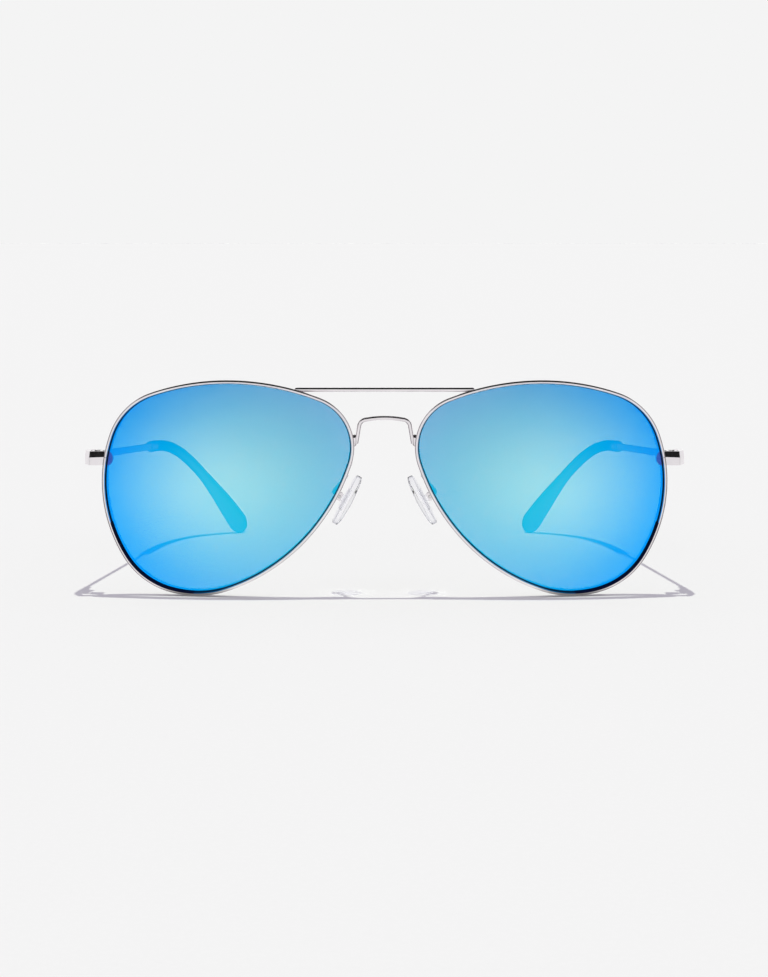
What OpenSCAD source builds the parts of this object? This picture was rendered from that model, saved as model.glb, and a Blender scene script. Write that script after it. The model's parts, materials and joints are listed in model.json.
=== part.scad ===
// Aviator sunglasses: metal rims, mirrored lenses, double bridge, folding temples.
// Origin on the table, under the middle of the open pair.
// +X towards the wearer's left, +Y back along the temples, +Z up. Millimetres.

/* [Lenses] */
// distance between the two lens frames' centres
lens_pitch = 76.64; // [74:0.1:80]
// height of the lens frame's centre above the table
lens_height = 27.14; // [27:0.01:27.4]
// base curve: radius of the lens front
lens_curve_r = 88; // [80:1:100]
// lens thickness
lens_thick = 1.8; // [1.4:0.1:1.8]
// forward lean of the top of the lenses, degrees
lens_lean = 5; // [3:0.5:7]
// backward turn of the outer side of each lens, degrees
lens_wrap = 4; // [2:0.5:6]

/* [Rims] */
// rim wire, inside to outside
rim_wire = 0.76; // [0.7:0.02:1]
// rim lip in front of the lens
rim_lip = 0.8; // [0.4:0.1:1]
// how far the lens edge sits in the rim's groove
tongue_deep = 0.34; // [0.26:0.02:0.4]
// saw cut through the rim, between the two lock blocks
rim_cut = 0.1; // [0.06:0.02:0.3]

/* [Bridge and bar] */
// wire diameter of the bridge and of the brow bar
wire_d = 1; // [0.8:0.05:1.4]
// half the length of the brow bar
bar_half = 20.4; // [16:0.1:21]
// height of the brow bar's axis
bar_height = 49.25; // [49:0.05:49.6]
// height of the bridge's top
bridge_top = 42.8; // [42:0.1:43.5]
// half the bridge's width at its corners
bridge_half = 5.9; // [5.6:0.1:6.2]

/* [Nose pads] */
// pad length
pad_long = 12.8; // [11:0.1:14]
// pad width, front to back
pad_wide = 7.4; // [6:0.1:8]
// pad thickness in the middle
pad_thick = 1.8; // [1.6:0.1:2]

/* [Temples] */
// height of the end piece and of the temple's front end
end_tall = 3.15; // [2.9:0.05:3.3]
// height of the temple's thin part
arm_tall = 1.7; // [1.4:0.1:2]
// temple thickness
arm_thick = 0.9; // [0.7:0.05:1]
// diameter of the tip sleeve behind its collar
sleeve_d = 2.9; // [2.5:0.1:3]
// width of the flat end of the tip sleeve
paddle_wide = 5.9; // [4.5:0.1:6.5]
// thickness of the flat end of the tip sleeve
paddle_thick = 2.5; // [2:0.1:3]

/* [Hidden] */
$fn = 48;

silver = [0.80, 0.79, 0.80];
clear = [0.93, 0.94, 0.97, 0.5];
mirror_blue = [0.30, 0.70, 0.95, 0.7];
sleeve_black = [0.05, 0.05, 0.055];

gap = 0.03;
wire_r = wire_d / 2;
slot_wide = 0.18;
// Shapes are drawn with y = 0 at the lens fronts and moved forward by this at the end,
// which is half the depth of the open pair.
half_depth = 59.88;

// Lens outline: seven tangent arcs. arc_from is where each begins, arc_r its radius.
// The second and sixth radii close the loop.
arc_from = [-75, -30, 20, 70, 113, 198, 250, 285];
arc_base = [16.5, 0, 16, 53.4, 12, 0, 23];
arc_start = [8.8, -10.15];
arc_step = 3;
function arc_dx(i) = cos(arc_from[i + 1]) - cos(arc_from[i]);
function arc_dy(i) = sin(arc_from[i + 1]) - sin(arc_from[i]);
function fixed_sum(i, y) = i < 0 ? 0
    : arc_base[i] * (y ? arc_dy(i) : arc_dx(i)) + fixed_sum(i - 1, y);
loop_x = fixed_sum(6, false);
loop_y = fixed_sum(6, true);
loop_det = arc_dx(1) * arc_dy(5) - arc_dx(5) * arc_dy(1);
arc_r = [arc_base[0], (arc_dx(5) * loop_y - loop_x * arc_dy(5)) / loop_det, arc_base[2],
         arc_base[3], arc_base[4], (loop_x * arc_dy(1) - arc_dx(1) * loop_y) / loop_det,
         arc_base[6]];
function arc_mid(i) = i == 0 ? arc_start
    : arc_mid(i - 1) + (arc_r[i - 1] - arc_r[i]) * [cos(arc_from[i]), sin(arc_from[i])];
function arc_parts(i) = ceil((arc_from[i + 1] - arc_from[i]) / arc_step);
function outline(grow) = [
    for (i = [0 : 6])
        let (n = arc_parts(i), da = (arc_from[i + 1] - arc_from[i]) / n)
            for (k = [0 : n - 1])
                let (a = arc_from[i] + k * da)
                    arc_mid(i) + (arc_r[i] + grow) * [cos(a), sin(a)]];

// Lens frame: x outwards, y backwards from the lens front, z up.
front_r = lens_curve_r + rim_lip;
lens_back_r = lens_curve_r - lens_thick;
rim_back_r = lens_back_r - 0.2;
tongue_front_r = lens_curve_r - 0.45;
tongue_back_r = lens_back_r + 0.45;
groove_deep = tongue_deep + 0.05;

// Rim lock: a rounded block behind the rim's outer side.
lock_x = 66.1;
lock_z = 32.7;
lock_r = 2.1;
lock_tall = 3.3;
lock_back = 11.4;
lock_screw_x = 66.0;
lock_screw_y = 9.9;
lock_screw_r = 0.45;
lock_head_r = 0.62;
lock_flat_x = 67.1;

// End piece and hinge.
end_mid_z = 32.85;
end_low = end_mid_z - end_tall / 2;
end_high = end_mid_z + end_tall / 2;
end_front = 5.8;
end_back = 12;
end_out = 70.45;
hinge_x = 68.0;
hinge_y = 13.6;
knuckle_r = 1.3;
knuckle_mid = 0.9;
end_wall = 1.25;
hinge_low = end_low + 0.2;
hinge_high = end_high - 0.6;
hinge_mid = (hinge_low + hinge_high) / 2;
hinge_pin_r = 0.5;
hinge_head_r = 0.85;

// Temple: starts at its butt face, leans inwards and falls towards the back.
arm_in = 7.7;
arm_fall = 3.3;
arm_start = [end_out - arm_thick / 2, end_back + 0.06, end_mid_z];
arm_dir = [-sin(arm_in) * cos(arm_fall), cos(arm_in) * cos(arm_fall), -sin(arm_fall)];
collar_at = 60.6;
collar_long = 2.6;
sleeve_at = collar_at + collar_long + gap;
core_r = 0.44;
core_end = 0.88;
core_sides = 10;
core_times = [for (i = [0 : 11]) core_end * i / 11];

// Sleeve path: a curve that leaves along the arm and drops inwards behind the ear.
path_0 = arm_start + sleeve_at * arm_dir;
path_1 = path_0 + 20.2 * arm_dir;
path_2 = [55.8, 109.8, 26.3];
path_3 = [40.4, 119.5, 0.43];
function path(t) = pow(1 - t, 3) * path_0 + 3 * pow(1 - t, 2) * t * path_1
    + 3 * (1 - t) * t * t * path_2 + pow(t, 3) * path_3;
function unit(v) = v / norm(v);
function heading(t) = unit(path(t + 0.001) - path(t - 0.001));
flat_side = [-0.55, -0.83, 0];
function thin_axis(t) = unit(flat_side - (flat_side * heading(t)) * heading(t));
function wide_axis(t) = cross(heading(t), thin_axis(t));
function ease(t) = t * t * (3 - 2 * t);
function blend(a, b, t) = a + (b - a) * ease(min(1, max(0, t)));
round_at = 0.955;
flare_from = 0.67;
flare_long = 0.337;
function tip_round(t) = t < round_at ? 1 : sqrt(max(0, 1 - pow((t - round_at) / (1 - round_at), 2)));
function half_wide(t) = tip_round(t) * blend(sleeve_d, paddle_wide, (t - flare_from) / flare_long) / 2;
function half_thin(t) = tip_round(t) * blend(sleeve_d, paddle_thick, (t - flare_from) / flare_long) / 2;

module placed() {
    translate([0, -half_depth, 0])
        children();
}

module side(s) {
    mirror([s < 0 ? 1 : 0, 0, 0])
        children();
}

module lens_place() {
    translate([lens_pitch / 2, 0, lens_height])
        rotate([lens_lean, 0, 0])
            rotate([0, 0, lens_wrap])
                children();
}

// Cone from the centre of the lens sphere through the outline: its walls stand square
// to the curved lens, so they lean inwards towards the back.
function cone_base(p) =
    let (k = (lens_curve_r + 4) / sqrt(front_r * front_r - p[0] * p[0] - p[1] * p[1]))
        [k * p[0], -4, k * p[1]];

module outline_cone(grow) {
    ring = outline(grow);
    n = len(ring);
    walls = [for (k = [0 : n - 1]) [k, n, (k + 1) % n]];
    polyhedron(concat([for (p = ring) cone_base(p)], [[0, lens_curve_r, 0]]),
               concat([[for (k = [0 : n - 1]) n - 1 - k]], [for (w = walls) [w[2], w[1], w[0]]]));
}

module curve_ball(r) {
    translate([0, lens_curve_r, 0])
        sphere(r, $fn = 360);
}

module curved_plate(grow, r_front, r_back) {
    difference() {
        intersection() {
            outline_cone(grow);
            curve_ball(r_front);
        }
        curve_ball(r_back);
    }
}

// keeps only what lies behind the rim's back
module behind_rim() {
    intersection() {
        children();
        lens_place()
            curve_ball(rim_back_r);
    }
}

module rod(a, b, r) {
    v = b - a;
    translate(a)
        rotate([0, acos(v[2] / norm(v)), atan2(v[1], v[0])])
            cylinder(h = norm(v), r = r);
}

// skin over rings of points; each ring runs round from its wide axis to its thin axis
module ring_skin(pts, rings, sides) {
    walls = [
        for (i = [0 : rings - 2], k = [0 : sides - 1], half = [0, 1])
            let (a = i * sides + k, b = i * sides + (k + 1) % sides)
                half == 0 ? [a, b + sides, a + sides] : [a, b, b + sides]];
    start_cap = [for (k = [sides - 1 : -1 : 0]) k];
    end_cap = [for (k = [0 : sides - 1]) (rings - 1) * sides + k];
    polyhedron(pts, concat([start_cap], walls, [end_cap]));
}

module tube_along(times, sides, wide, thin) {
    pts = [
        for (i = [0 : len(times) - 1], k = [0 : sides - 1])
            let (t = times[i], a = 360 * k / sides)
                path(t) + wide[i] * cos(a) * wide_axis(t) + thin[i] * sin(a) * thin_axis(t)];
    ring_skin(pts, len(times), sides);
}

// ---- Front ----

module rim() {
    color(silver)
        lens_place()
            difference() {
                curved_plate(rim_wire, front_r, rim_back_r);
                outline_cone(0);
                curved_plate(groove_deep, tongue_front_r + gap, tongue_back_r - gap);
                translate([24, -2, lock_z - lens_height - rim_cut / 2])
                    cube([8, 14, rim_cut]);
            }
}

module lens() {
    color(mirror_blue)
        lens_place() {
            curved_plate(-0.04, lens_curve_r, lens_back_r);
            curved_plate(tongue_deep, tongue_front_r, tongue_back_r);
        }
}

module both_rim_cones() {
    for (s = [-1, 1])
        side(s)
            lens_place()
                outline_cone(rim_wire);
}

module brow_bar() {
    color(silver)
        difference() {
            translate([0, 1.75, bar_height]) {
                rotate([0, 90, 0])
                    cylinder(h = 2 * bar_half, r = wire_r, center = true);
                for (s = [-1, 1])
                    translate([s * bar_half, 0, 0])
                        sphere(wire_r - 0.01);
            }
            both_rim_cones();
        }
}

// The bridge's top is a shallow arch, tangent to the two corner bends.
module bridge() {
    corner_r = 1.7;
    arch_r = 24;
    leg_turn = 9.5;
    leg_long = 4.2;
    arch_turn = asin((bridge_half - corner_r) / (arch_r - corner_r));
    arch_mid = bridge_top - arch_r;
    corner = [bridge_half - corner_r, arch_mid + (arch_r - corner_r) * cos(arch_turn)];
    bend_top = [arch_r * sin(arch_turn), arch_mid + arch_r * cos(arch_turn)];
    leg_top = corner + corner_r * [cos(leg_turn), sin(leg_turn)];
    leg_dir = [sin(leg_turn), -cos(leg_turn)];
    leg_start = leg_top + 0.01 * leg_dir;
    leg_end = leg_top + leg_long * leg_dir;
    play = 0.05;
    color(silver)
        difference() {
            translate([0, 6.4, 0])
                rotate([lens_lean, 0, 0]) {
                    translate([0, 0, arch_mid])
                        rotate([90, 0, 0])
                            rotate([0, 0, 90 - arch_turn + play])
                                rotate_extrude(angle = 2 * (arch_turn - play))
                                    translate([arch_r, 0])
                                        circle(wire_r);
                    for (s = [-1, 1])
                        side(s) {
                            translate([corner[0], 0, corner[1]])
                                rotate([90, 0, 0])
                                    rotate([0, 0, leg_turn + 0.4])
                                        rotate_extrude(angle = 89.2 - leg_turn - arch_turn)
                                            translate([corner_r, 0])
                                                circle(wire_r);
                            translate([bend_top[0], 0, bend_top[1]])
                                sphere(wire_r + 0.01);
                            translate([leg_top[0], 0, leg_top[1]])
                                sphere(wire_r + 0.01);
                            rod([leg_start[0], 0, leg_start[1]], [leg_end[0], 0, leg_end[1]], wire_r);
                        }
                }
            both_rim_cones();
        }
}

// ---- Nose pads. Pad frame: x away from the nose, y backwards, z up along the pad. ----

pad_mid = [8.9, 11, 22.45];
pad_lean = -28;
pad_splay = -5;
pad_back = 0.75;
pad_pin_x = pad_back + 1.4;
pad_pin_r = 0.35;
lug_r = 0.75;
lug_wide = 0.9;
box_slot = 1.1;
box_wide = 2.3;
box_deep = 1.7;
box_tall = 1.9;

module pad_place() {
    translate(pad_mid)
        rotate([0, pad_lean, 0])
            rotate([0, 0, pad_splay])
                children();
}

// egg: wider towards the bottom
function egg(grow) = [
    for (a = [0 : 7.5 : 352.5])
        [(pad_wide / 2 + grow) * cos(a) * (1 - 0.12 * sin(a)), (pad_long / 2 + grow) * sin(a)]];

module egg_prism(grow, x_from, x_to) {
    translate([x_to, 0, 0])
        rotate([0, -90, 0])
            rotate([0, 0, 90])
                linear_extrude(x_to - x_from)
                    polygon(egg(grow));
}

module insert_shape(grow) {
    translate([pad_back - 0.65 - grow, -1.5 - grow, -2.6 - grow])
        cube([0.35 + 2 * grow, 3 + 2 * grow, 5.2 + 2 * grow]);
    translate([pad_back - 0.5, -lug_wide / 2 - grow, -lug_r - grow])
        cube([pad_pin_x - pad_back + 0.5, lug_wide + 2 * grow, 2 * (lug_r + grow)]);
}

module nose_pad() {
    dome_r = 60;
    color(clear)
        pad_place()
            difference() {
                intersection() {
                    egg_prism(0, pad_back - pad_thick, pad_back);
                    translate([pad_back - pad_thick + dome_r, 0, 0])
                        sphere(dome_r, $fn = 240);
                }
                insert_shape(0.02);
            }
}

module pad_insert() {
    color(silver)
        pad_place()
            difference() {
                union() {
                    insert_shape(0);
                    translate([pad_pin_x, lug_wide / 2, 0])
                        rotate([90, 0, 0])
                            cylinder(h = lug_wide, r = lug_r);
                }
                translate([pad_pin_x, 2, 0])
                    rotate([90, 0, 0])
                        cylinder(h = 4, r = pad_pin_r + 0.05);
            }
}

module pad_box() {
    color(silver)
        pad_place()
            difference() {
                translate([pad_pin_x - 0.6, -box_wide / 2, -box_tall / 2])
                    cube([box_deep, box_wide, box_tall]);
                translate([pad_pin_x - 1, -box_slot / 2, -box_tall])
                    cube([1.85, box_slot, 2 * box_tall]);
                translate([pad_pin_x, 2, 0])
                    rotate([90, 0, 0])
                        cylinder(h = 4, r = pad_pin_r + 0.02);
            }
}

module pad_screw() {
    color(silver)
        pad_place()
            translate([pad_pin_x, 0, 0])
                rotate([-90, 0, 0])
                    difference() {
                        union() {
                            translate([0, 0, -box_wide / 2 - 0.15])
                                cylinder(h = box_wide + 0.3, r = pad_pin_r);
                            translate([0, 0, box_wide / 2 + 0.01])
                                cylinder(h = 0.3, r = 0.62);
                        }
                        translate([-1, -slot_wide / 2, box_wide / 2 + 0.16])
                            cube([2, slot_wide, 1]);
                    }
}

// where the arm meets the back of the box, in the pad frame and then in the row's frame
box_end = [pad_pin_x - 0.6 + box_deep, 0, 0.3];
pad_arm_end = pad_mid
    + [cos(pad_lean) * (box_end[0] * cos(pad_splay)) + sin(pad_lean) * box_end[2],
       box_end[0] * sin(pad_splay),
       -sin(pad_lean) * (box_end[0] * cos(pad_splay)) + cos(pad_lean) * box_end[2]];

arm_wire_r = 0.4;
arm_curve = [[8.95, 4.0, 29.3], [8.2, 8.5, 28.4], [13.1, 12.0, 24.3], pad_arm_end + [0.1, 0, 0.05]];
function arm_point(t) = pow(1 - t, 3) * arm_curve[0] + 3 * pow(1 - t, 2) * t * arm_curve[1]
    + 3 * (1 - t) * t * t * arm_curve[2] + pow(t, 3) * arm_curve[3];
function arm_heading(t) = unit(arm_point(t + 0.001) - arm_point(t - 0.001));
function arm_thin(t) = unit([0.8, 0, -0.6] - (arm_heading(t) * [0.8, 0, -0.6]) * arm_heading(t));
function arm_wide(t) = cross(arm_heading(t), arm_thin(t));

module pad_arm() {
    rings = 15;
    sides = 12;
    pts = [
        for (i = [0 : rings - 1], k = [0 : sides - 1])
            let (t = i / (rings - 1), a = 360 * k / sides)
                arm_point(t) + arm_wire_r * (cos(a) * arm_wide(t) + sin(a) * arm_thin(t))];
    color(silver)
        difference() {
            behind_rim()
                ring_skin(pts, rings, sides);
            pad_place()
                translate([pad_pin_x - 1, -2, -2])
                    cube([0.4 + box_deep, 4, 4]);
        }
}

// ---- Rim lock ----

module rim_lock_block(z_from, z_to) {
    difference() {
        behind_rim()
            translate([lock_x, lock_back, lock_z])
                rotate([90, 0, 0])
                    cylinder(h = 6, r = lock_r);
        translate([lock_x - 5, 0, z_to])
            cube([10, 20, 10]);
        translate([lock_x - 5, 0, z_from - 10])
            cube([10, 20, 10]);
        translate([lock_flat_x, 0, 0])
            cube([10, 20, 50]);
        translate([lock_screw_x, lock_screw_y, 0])
            cylinder(h = 50, r = lock_screw_r + 0.02);
    }
}

module rim_lock_upper() {
    color(silver)
        rim_lock_block(lock_z + rim_cut / 2, lock_z + lock_tall / 2);
}

module rim_lock_lower() {
    color(silver)
        rim_lock_block(lock_z - lock_tall / 2, lock_z - rim_cut / 2);
}

module rim_lock_screw() {
    low = lock_z - lock_tall / 2;
    color(silver)
        translate([lock_screw_x, lock_screw_y, low])
            difference() {
                union() {
                    translate([0, 0, -0.1])
                        cylinder(h = lock_tall + 0.2, r = lock_screw_r);
                    translate([0, 0, -0.26])
                        cylinder(h = 0.25, r = lock_head_r);
                }
                translate([-1, -slot_wide / 2, -1])
                    cube([2, slot_wide, 0.86]);
            }
}

// ---- End piece and hinge ----

module end_piece() {
    bevel = 1.35;
    corner = [69.15, end_front];
    shoulder = [end_out, 8.5];
    turn = atan2(shoulder[1] - corner[1], shoulder[0] - corner[0]);
    corner_slope = atan(1 / cos(turn));
    plan = [[64.5, end_front + 0.15], corner, shoulder, [end_out, end_back],
            [end_out - end_wall, end_back], [end_out - end_wall, 9.1], [68.4, 7.5], [64.5, 7.5]];
    color(silver)
        difference() {
            translate([0, 0, end_low])
                linear_extrude(end_tall)
                    polygon(plan);
            translate([60, end_front, end_high])
                rotate([45, 0, 0])
                    translate([0, -4, -bevel * sqrt(0.5)])
                        cube([20, 8, 4]);
            // steeper round the corner, so that the two bevels meet on an upright line
            translate([corner[0], corner[1], end_high])
                rotate([0, 0, turn])
                    rotate([corner_slope, 0, 0])
                        translate([-8, -4, -bevel * cos(corner_slope)])
                            cube([20, 8, 4]);
            lens_place()
                outline_cone(rim_wire);
        }
}

module knuckle(z_from, z_to, r) {
    translate([hinge_x, hinge_y, z_from])
        cylinder(h = z_to - z_from, r = r);
}

module hinge_front() {
    half = knuckle_mid / 2 + 0.04;
    leaf_y = 9.3;
    color(silver)
        difference() {
            union() {
                knuckle(hinge_low, hinge_high, knuckle_r);
                translate([hinge_x - 0.5, leaf_y, hinge_low])
                    cube([end_out - end_wall - hinge_x + 0.5, hinge_y - leaf_y, hinge_high - hinge_low]);
            }
            knuckle(hinge_mid - half, hinge_mid + half, knuckle_r + 0.1);
            translate([hinge_x - 3, hinge_y - 0.9, hinge_mid - half])
                cube([6, 4, 2 * half]);
            knuckle(hinge_low - 1, hinge_high + 1, hinge_pin_r + 0.02);
        }
}

module hinge_screw() {
    color(silver)
        difference() {
            union() {
                knuckle(hinge_low - 0.05, hinge_high + 0.1, hinge_pin_r);
                knuckle(hinge_high + 0.01, hinge_high + 0.31, hinge_head_r);
            }
            translate([hinge_x - 1, hinge_y - slot_wide / 2, hinge_high + 0.16])
                cube([2, slot_wide, 1]);
        }
}

module arm_frame() {
    translate(arm_start)
        rotate([0, 0, arm_in])
            rotate([-arm_fall, 0, 0])
                children();
}

module hinge_temple() {
    half = knuckle_mid / 2;
    leaf_tall = 2;
    leaf_from = 3.5;
    leaf_long = 3.9;
    color(silver)
        difference() {
            union() {
                knuckle(hinge_mid - half, hinge_mid + half, knuckle_r);
                translate([hinge_x, hinge_y - 0.3, hinge_mid - half])
                    cube([2.2, 3.2, 2 * half]);
                arm_frame()
                    translate([-arm_thick / 2 - 0.5, leaf_from, -leaf_tall / 2 - 0.1])
                        cube([1, leaf_long, leaf_tall]);
            }
            arm_frame()
                translate([-arm_thick / 2, -5, -5])
                    cube([5, 20, 10]);
            knuckle(hinge_low - 1, hinge_high + 1, hinge_pin_r + 0.05);
        }
}

module temple_arm() {
    tall = end_tall - 0.05;
    shave = 0.08;
    profile = [[-0.4, -tall / 2], [3, -tall / 2], [9, -arm_tall / 2], [collar_at, -arm_tall / 2],
               [collar_at, arm_tall / 2], [9, arm_tall / 2], [3, tall / 2], [-0.4, tall / 2]];
    times = concat([-0.004], core_times);
    color(silver) {
        // the collar slides over a slightly thinner tongue
        arm_frame()
            translate([shave - arm_thick / 2, collar_at - 1, shave - arm_tall / 2])
                cube([arm_thick - 2 * shave, collar_long + 1, arm_tall - 2 * shave]);
        difference() {
            arm_frame()
                rotate([90, 0, 90])
                    translate([0, 0, -arm_thick / 2])
                        linear_extrude(arm_thick)
                            polygon(profile);
            translate([arm_start[0] - 5, arm_start[1] - 5, 0])
                cube([10, 5, 50]);
        }
        tube_along(times, core_sides, [for (t = times) core_r], [for (t = times) core_r]);
    }
}

module tip_collar() {
    color(silver)
        arm_frame()
            translate([0, collar_at, 0])
                rotate([-90, 0, 0])
                    difference() {
                        union() {
                            translate([0, 0, 0.6])
                                cylinder(h = collar_long - 0.6, r = 1.5);
                            cylinder(h = 0.6, r1 = 1.1, r2 = 1.5);
                        }
                        translate([-arm_thick / 2 - gap, -arm_tall / 2 - gap, -1])
                            cube([arm_thick + 2 * gap, arm_tall + 2 * gap, 5]);
                    }
}

module temple_tip() {
    straight_rings = 20;
    round_rings = 6;
    sides = 20;
    times = concat([for (i = [0 : straight_rings]) round_at * i / straight_rings],
                   [for (i = [1 : round_rings]) round_at + (1 - round_at) * sin(i * 86 / round_rings)]);
    bore_times = concat([-0.05], core_times, [core_end + 0.01]);
    bore_r = core_r + 0.06;
    color(sleeve_black)
        difference() {
            tube_along(times, sides, [for (t = times) half_wide(t)], [for (t = times) half_thin(t)]);
            tube_along(bore_times, core_sides, [for (t = bore_times) bore_r], [for (t = bore_times) bore_r]);
        }
}

// ---- One line per node ----

placed() side(1) rim();  // rim_left
placed() side(-1) rim();  // rim_right
placed() side(1) lens();  // lens_left
placed() side(-1) lens();  // lens_right
placed() brow_bar();
placed() bridge();
placed() side(1) pad_arm();  // pad_arm_left
placed() side(-1) pad_arm();  // pad_arm_right
placed() side(1) pad_box();  // pad_box_left
placed() side(-1) pad_box();  // pad_box_right
placed() side(1) pad_screw();  // pad_screw_left
placed() side(-1) pad_screw();  // pad_screw_right
placed() side(1) pad_insert();  // pad_insert_left
placed() side(-1) pad_insert();  // pad_insert_right
placed() side(1) nose_pad();  // nose_pad_left
placed() side(-1) nose_pad();  // nose_pad_right
placed() side(1) rim_lock_upper();  // rim_lock_upper_left
placed() side(-1) rim_lock_upper();  // rim_lock_upper_right
placed() side(1) rim_lock_lower();  // rim_lock_lower_left
placed() side(-1) rim_lock_lower();  // rim_lock_lower_right
placed() side(1) rim_lock_screw();  // rim_lock_screw_left
placed() side(-1) rim_lock_screw();  // rim_lock_screw_right
placed() side(1) end_piece();  // end_piece_left
placed() side(-1) end_piece();  // end_piece_right
placed() side(1) hinge_front();  // hinge_front_left
placed() side(-1) hinge_front();  // hinge_front_right
placed() side(1) hinge_screw();  // hinge_screw_left
placed() side(-1) hinge_screw();  // hinge_screw_right
placed() side(1) hinge_temple();  // hinge_temple_left
placed() side(-1) hinge_temple();  // hinge_temple_right
placed() side(1) temple_arm();  // temple_arm_left
placed() side(-1) temple_arm();  // temple_arm_right
placed() side(1) tip_collar();  // tip_collar_left
placed() side(-1) tip_collar();  // tip_collar_right
placed() side(1) temple_tip();  // temple_tip_left
placed() side(-1) temple_tip();  // temple_tip_right
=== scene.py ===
"""Aviator sunglasses: the looks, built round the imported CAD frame.

Metres, in the CAD frame: +X to the wearer's left, +Y back along the temples, +Z up, floor at z = 0.
Shapes are worked out in millimetres with y = 0 at the lens fronts, then moved by SHIFT and scaled by
MM when a mesh is made. The pair is symmetric, so each piece is built for the left side (side 1) and
mirrored for the right (side -1).
"""
import json
import math

import bpy
from mathutils import Matrix, Vector


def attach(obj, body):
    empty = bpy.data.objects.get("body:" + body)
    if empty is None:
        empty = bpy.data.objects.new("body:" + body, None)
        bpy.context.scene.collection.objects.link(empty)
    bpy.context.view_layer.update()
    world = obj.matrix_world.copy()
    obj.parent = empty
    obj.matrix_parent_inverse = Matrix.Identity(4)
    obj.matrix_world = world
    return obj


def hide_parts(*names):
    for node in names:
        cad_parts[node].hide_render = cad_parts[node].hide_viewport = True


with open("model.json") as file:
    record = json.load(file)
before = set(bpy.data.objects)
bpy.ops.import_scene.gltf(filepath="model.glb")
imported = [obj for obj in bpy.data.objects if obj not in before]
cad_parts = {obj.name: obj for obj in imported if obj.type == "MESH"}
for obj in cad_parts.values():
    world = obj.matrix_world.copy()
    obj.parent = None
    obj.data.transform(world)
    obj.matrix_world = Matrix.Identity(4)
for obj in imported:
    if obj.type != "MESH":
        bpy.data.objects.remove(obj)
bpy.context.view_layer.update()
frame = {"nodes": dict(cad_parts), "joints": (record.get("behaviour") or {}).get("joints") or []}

MM = 0.001
SIDES = {"left": 1, "right": -1}
HINGE_Y = 13.6          # the hinge pin, behind the lens fronts
_hinge = next(j for j in frame["joints"] if j["name"] == "temple_fold_left")
SHIFT = _hinge["pos_m"][1] / MM - HINGE_Y


# ---- Sizes shared with the CAD, in millimetres and degrees ----

LENS_PITCH = 76.64
LENS_HEIGHT = 27.14
LENS_LEAN = 5
LENS_WRAP = 4
CURVE_R = 88            # radius of the lens front
FRONT_R = 88.8          # rim front
RIM_BACK_R = 86.0
LENS_BACK_R = 86.2
GROOVE_FRONT_R = 87.58
GROOVE_BACK_R = 86.62
RIM_WIRE = 0.76
GROOVE_DEEP = 0.39
TONGUE_DEEP = 0.34
TONGUE_GAP = 0.03       # between the lens' tongue and the walls of the groove
LENS_GAP = 0.04         # between the lens' edge and the rim's lip
RIM_CUT = 0.1
LOCK_Z = 32.7           # height of the saw cut in the rim

# Lens outline: seven tangent arcs, by the direction each begins at and its radius.
ARC_FROM = (-75, -30, 20, 70, 113, 198, 250, 285)
ARC_BASE = (16.5, None, 16, 53.4, 12, None, 23)
ARC_START = (8.8, -10.15)

ARM_START = Vector((70.0, 12.06, 32.85))
ARM_IN = 7.7
ARM_FALL = 3.3
ARM_THICK = 0.9
ARM_TALL = 1.7
ARM_FRONT_TALL = 3.1
COLLAR_AT = 60.6
COLLAR_LONG = 2.6
SLEEVE_D = 2.9
PADDLE_WIDE = 5.9
PADDLE_THICK = 2.5
FLARE_FROM = 0.67       # where along the sleeve it begins to widen, and over what share
FLARE_LONG = 0.337
CORE_R = 0.44
CORE_END = 0.88

LOCK_PATCH = (1.09, 0.215, 0.062, 0.074)  # middle and half size, in LENS_UNIT

PAD_MID = Vector((8.9, 11, 22.45))
PAD_LEAN = -28
PAD_SPLAY = -5
PAD_LONG = 12.8
PAD_WIDE = 7.4
PAD_FRONT = -1.15
PAD_BACK = 0.85
PAD_DOME_R = 60

PAD_PIN_X = 2.15        # the pad's pin, in the pad's own frame
PAD_ARM_R = 0.4

LIP_SPLIT_R = CURVE_R + 0.42    # the lip's inner wall has painted black shade below this radius all round
LIP_SHADE_FROM = -90    # between these outline directions, below and towards the temple, the painted shade covers it all
LIP_SHADE_TO = -15
LENS_UNIT = 25          # the colour formula of the lens counts in this many millimetres
CLEAREST_AT = 0.087     # how far out from the lens' middle it is most see-through
CLEAREST_WIDE = 0.857   # and how far that reaches sideways and upwards
CLEAREST_TALL = 0.674
EDGE_ANGLE = 35         # edges sharper than this stay crisp, and are the ones eased on CAD nodes


# ---- The studio: light shares, sizes in millimetres, and the camera ----

PAPER = 0.905           # the pale floor and backdrop as the camera sees them, linear
FLOOR_WHITE = 0.8
FLOOR_HALF = 40.0       # metres
AMBIENT = (0.50, 0.475, 0.55)   # share of the floor's light that comes from all round
LAMP = (0.485, 0.506, 0.438)    # the lamp's share
# the floor seen through a lens has lamp light only, so its white makes up for the rest
LAMP_WHITE = tuple(0.985 * FLOOR_WHITE * (a + b) / b for a, b in zip(AMBIENT, LAMP)) + (1,)
LAMP_HEIGHT = 750
LAMP_Y = -22
LAMP_R = 6
ROOM_SIDE = 0.26        # how bright shiny surfaces see the room to the sides; front and back are 1
ROOM_DARK = 0.015
CAMERA_Y = -500         # from the lens fronts
CAMERA_Z = 83.89
CAMERA_DOWN = 6.5526    # tilt in degrees
CAMERA_LENS = 80.04
CAMERA_SHIFT = -0.0006


# ---- Mesh tools ----

def cos(degrees):
    return math.cos(math.radians(degrees))


def sin(degrees):
    return math.sin(math.radians(degrees))


def ease(t):
    t = min(1.0, max(0.0, t))
    return t * t * (3 - 2 * t)


def blend(a, b, t):
    return a + (b - a) * ease(t)


def turn(degrees, axis):
    return Matrix.Rotation(math.radians(degrees), 4, axis)


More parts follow.
